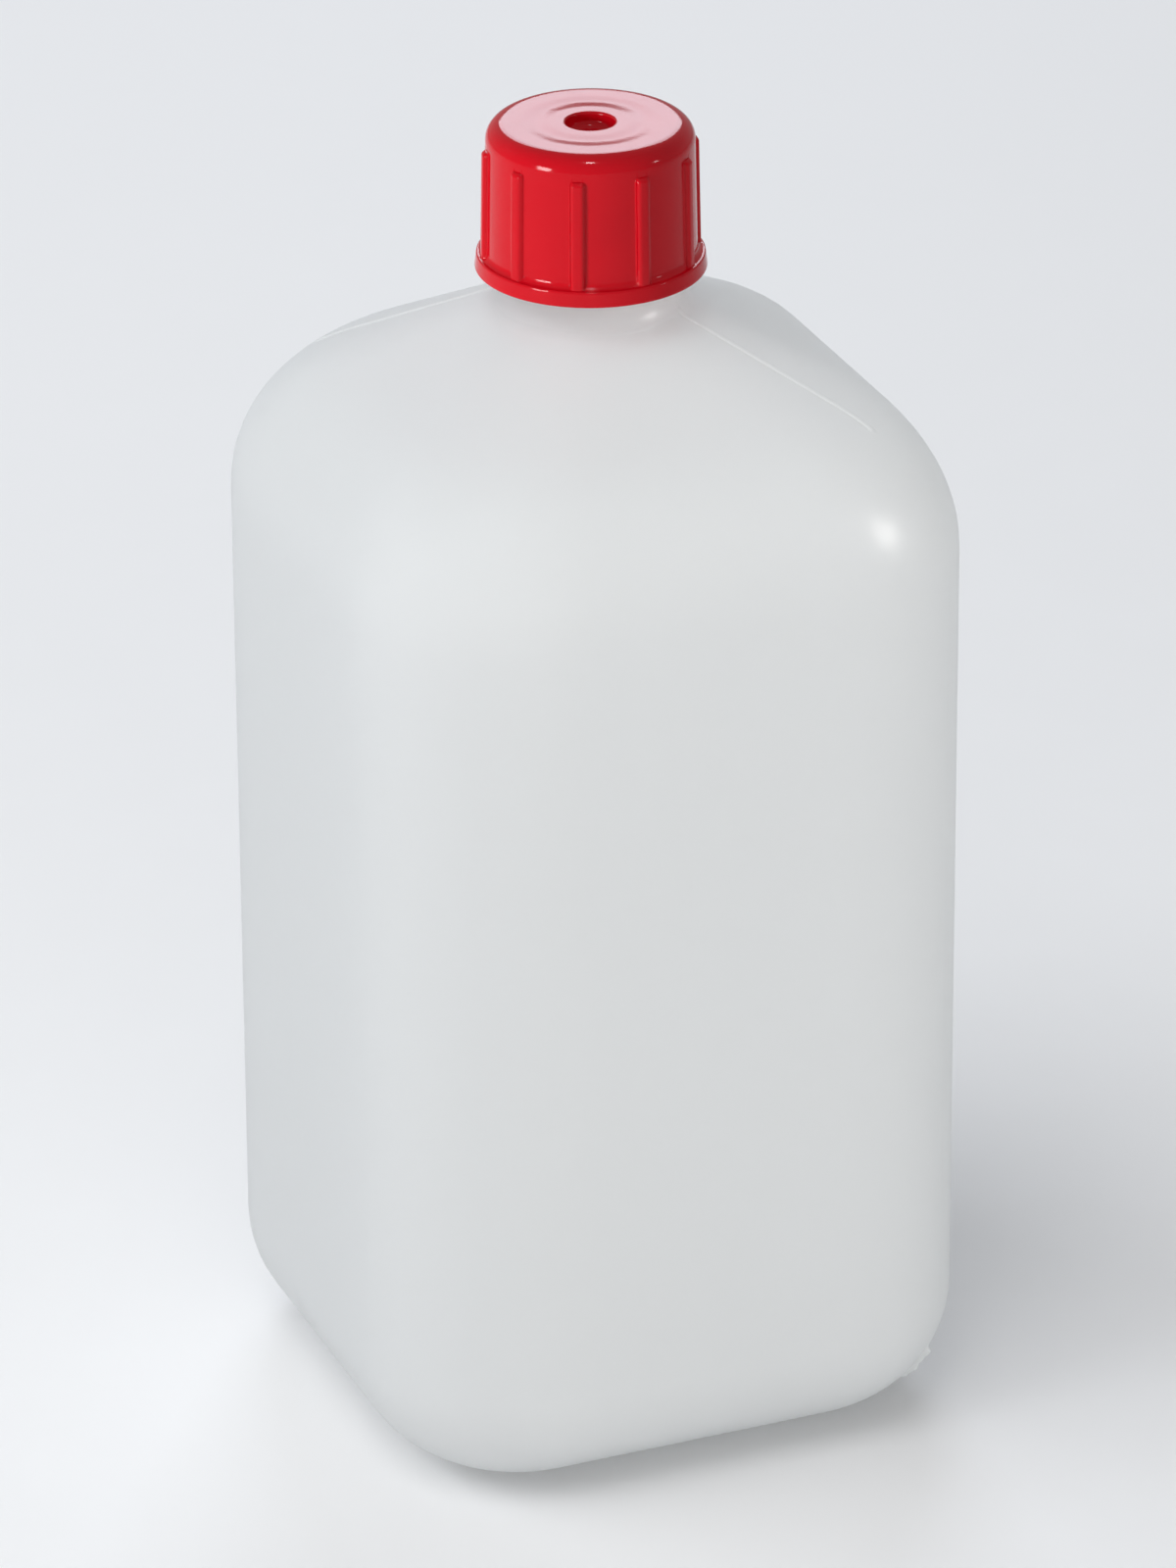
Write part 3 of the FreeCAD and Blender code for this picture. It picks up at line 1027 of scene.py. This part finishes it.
class BOTTLE_OT_seal(bpy.types.Operator):
    """Model the foam ring between the rim and the cap"""
    bl_idname = "square_bottle.seal"
    bl_label = "Sealing Ring"

    def execute(self, context):
        finish = finish_from(white_foam, context.scene.bottle_finishes)
        add_piece("seal_ring", seal_mesh(), "seal", finish, "sealing_ring")
        return {"FINISHED"}


# Stage

FLOOR_HALF_SIZE = 6.0
FLOOR_GAP = 0.0001
SENSOR_MM = 36
SHOULDER_MIDDLE = (0.0, 0.0, 0.15)
PLATE_MIDDLE = (0.0, 0.0, cap_high.z)
BOTTLE_PIECES = ("bottle_shell", "neck_thread", "seal_ring")
BOTTLE_AND_FLOOR = (*BOTTLE_PIECES, "floor")
CAP_PIECES = ("cap_shell", "cap_thread")
COOL, WARM, SKY = (0.93, 0.965, 1.0), (1.0, 0.978, 0.945), (0.86, 0.91, 1.0)
WORLD_COLOUR = (0.97, 0.985, 1.0, 1.0)


def towards(azimuth, elevation):
    """Direction with an azimuth from X and an elevation, in degrees."""
    turn, rise = math.radians(azimuth), math.radians(elevation)
    return Vector((math.cos(rise) * math.cos(turn), math.cos(rise) * math.sin(turn), math.sin(rise)))


def add_lamp(stage, name, target, place, size, tone=(1, 1, 1), only=(), mirrored=True):
    """Adds a rectangular lamp that faces a target, as bright as the setting of its name says."""
    azimuth, elevation, distance = place
    width, height = size
    data = bpy.data.lights.new(name, "AREA")
    data.shape = "RECTANGLE"
    data.size, data.size_y = width, height
    data.energy = getattr(stage, name) * math.pi * width * height
    data.color = tone
    lamp = add_object(name, data)
    way = towards(azimuth, elevation)
    lamp.location = Vector(target) + way * distance
    lamp.rotation_euler = way.to_track_quat("Z", "Y").to_euler()
    lamp.visible_camera = False
    lamp.visible_glossy = mirrored
    if only:
        lit = bpy.data.collections.new(f"lit_by_{name}")
        for piece in only:
            lit.objects.link(bpy.data.objects[piece])
        lamp.light_linking.receiver_collection = lit


def add_floor(colours, bounce):
    bm = bmesh.new()
    bmesh.ops.create_grid(bm, x_segments=1, y_segments=1, size=FLOOR_HALF_SIZE)
    bmesh.ops.translate(bm, vec=(0, 0, cad_low.z - FLOOR_GAP), verts=bm.verts)
    floor = mesh_object("floor", bm, pale_floor(colours, bounce))


def add_lamps(stage):
    """Soft panels that miss the cap, lamps for the bottle or the cap alone, and two panels behind."""
    soft = {"only": BOTTLE_AND_FLOOR, "mirrored": False}
    add_lamp(stage, "front_panel", SHOULDER_MIDDLE, (-115, 12, 2.2), (2.8, 1.3), WARM, **soft)
    add_lamp(stage, "top_panel", SHOULDER_MIDDLE, (-150, 62, 2.0), (1.5, 1.3), **soft)
    add_lamp(stage, "left_panel", SHOULDER_MIDDLE, (175, 34, 2.0), (1.6, 1.2), COOL, **soft)
    add_lamp(stage, "right_lamp", PLATE_MIDDLE, (-36.5, 13, 1.5), (0.30, 0.36), WARM, BOTTLE_PIECES)
    add_lamp(stage, "left_cap_lamp", PLATE_MIDDLE, (-162.5, 4, 1.5), (0.40, 0.48), only=CAP_PIECES)
    add_lamp(stage, "right_cap_lamp", PLATE_MIDDLE, (-36.5, 13, 1.5), (0.12, 0.15), only=CAP_PIECES)
    add_lamp(stage, "crown_lamp", PLATE_MIDDLE, (-112, 68, 1.5), (0.15, 0.15), only=CAP_PIECES)
    add_lamp(stage, "rim_panel", SHOULDER_MIDDLE, (140, 25, 1.8), (0.6, 0.6), COOL, mirrored=False)
    add_lamp(stage, "back_panel", PLATE_MIDDLE, (67.6, 27.5, 1.6), (0.66, 0.50), SKY)


def light_world(stage):
    """Even light from all round, behind a backdrop of its own brightness."""
    world = bpy.data.worlds.new("studio")
    world.use_nodes = True
    studio = Nodes(world.node_tree)
    background = studio.tree.nodes["Background"]
    background.inputs["Color"].default_value = WORLD_COLOUR
    extra = stage.backdrop - stage.world_light
    studio.feed(background.inputs["Strength"], stage.world_light + studio.seen() * extra)
    bpy.context.scene.world = world


def add_camera(stage):
    data = bpy.data.cameras.new("camera")
    data.lens = stage.lens
    data.sensor_width = SENSOR_MM
    camera = add_object("camera", data)
    camera.location = stage.camera_place
    sight = Vector(stage.camera_target) - Vector(stage.camera_place)
    turn = sight.to_track_quat("-Z", "Y") @ Quaternion(UP, stage.camera_roll)
    camera.rotation_euler = turn.to_euler()
    bpy.context.scene.camera = camera


class BOTTLE_OT_stage(bpy.types.Operator):
    """Set up the floor, the lamps, the world and the camera, after the pieces"""
    bl_idname = "square_bottle.stage"
    bl_label = "Stage"

    def execute(self, context):
        scene = context.scene
        stage = scene.bottle_stage
        add_floor(scene.bottle_finishes, stage.floor_bounce)
        add_lamps(stage)
        light_world(stage)
        add_camera(stage)
        scene.view_settings.view_transform = "Standard"
        return {"FINISHED"}


class BOTTLE_PT_sidebar(bpy.types.Panel):
    """Lists the steps that build the bottle, and its settings"""
    bl_idname = "BOTTLE_PT_sidebar"
    bl_label = "Square Bottle"
    bl_space_type = "VIEW_3D"
    bl_region_type = "UI"
    bl_category = "Bottle"

    def draw(self, context):
        column = self.layout.column()
        for operator in OPERATORS:
            column.operator(operator.bl_idname)
        for name in SETTINGS:
            group = getattr(context.scene, name)
            box = self.layout.box()
            for key in group.bl_rna.properties.keys():
                if key not in {"rna_type", "name"}:
                    box.prop(group, key)


SETTINGS = {
    "bottle_sizes": BottleSizes,
    "bottle_cap": CapSizes,
    "bottle_threads": ThreadSizes,
    "bottle_finishes": Finishes,
    "bottle_stage": StageSettings,
}
OPERATORS = (
    BOTTLE_OT_shell,
    BOTTLE_OT_neck_thread,
    BOTTLE_OT_cap,
    BOTTLE_OT_cap_thread,
    BOTTLE_OT_seal,
    BOTTLE_OT_stage,
)
CLASSES = (*SETTINGS.values(), *OPERATORS, BOTTLE_PT_sidebar)


def register():
    for item in CLASSES:
        bpy.utils.register_class(item)
    for name, group in SETTINGS.items():
        setattr(bpy.types.Scene, name, PointerProperty(type=group))


def unregister():
    for name in SETTINGS:
        delattr(bpy.types.Scene, name)
    for item in reversed(CLASSES):
        bpy.utils.unregister_class(item)


def main():
    register()
    bpy.ops.square_bottle.shell()
    bpy.ops.square_bottle.neck_thread()
    bpy.ops.square_bottle.cap()
    bpy.ops.square_bottle.cap_thread()
    bpy.ops.square_bottle.seal()
    bpy.ops.square_bottle.stage()


if __name__ == "__main__":
    main()
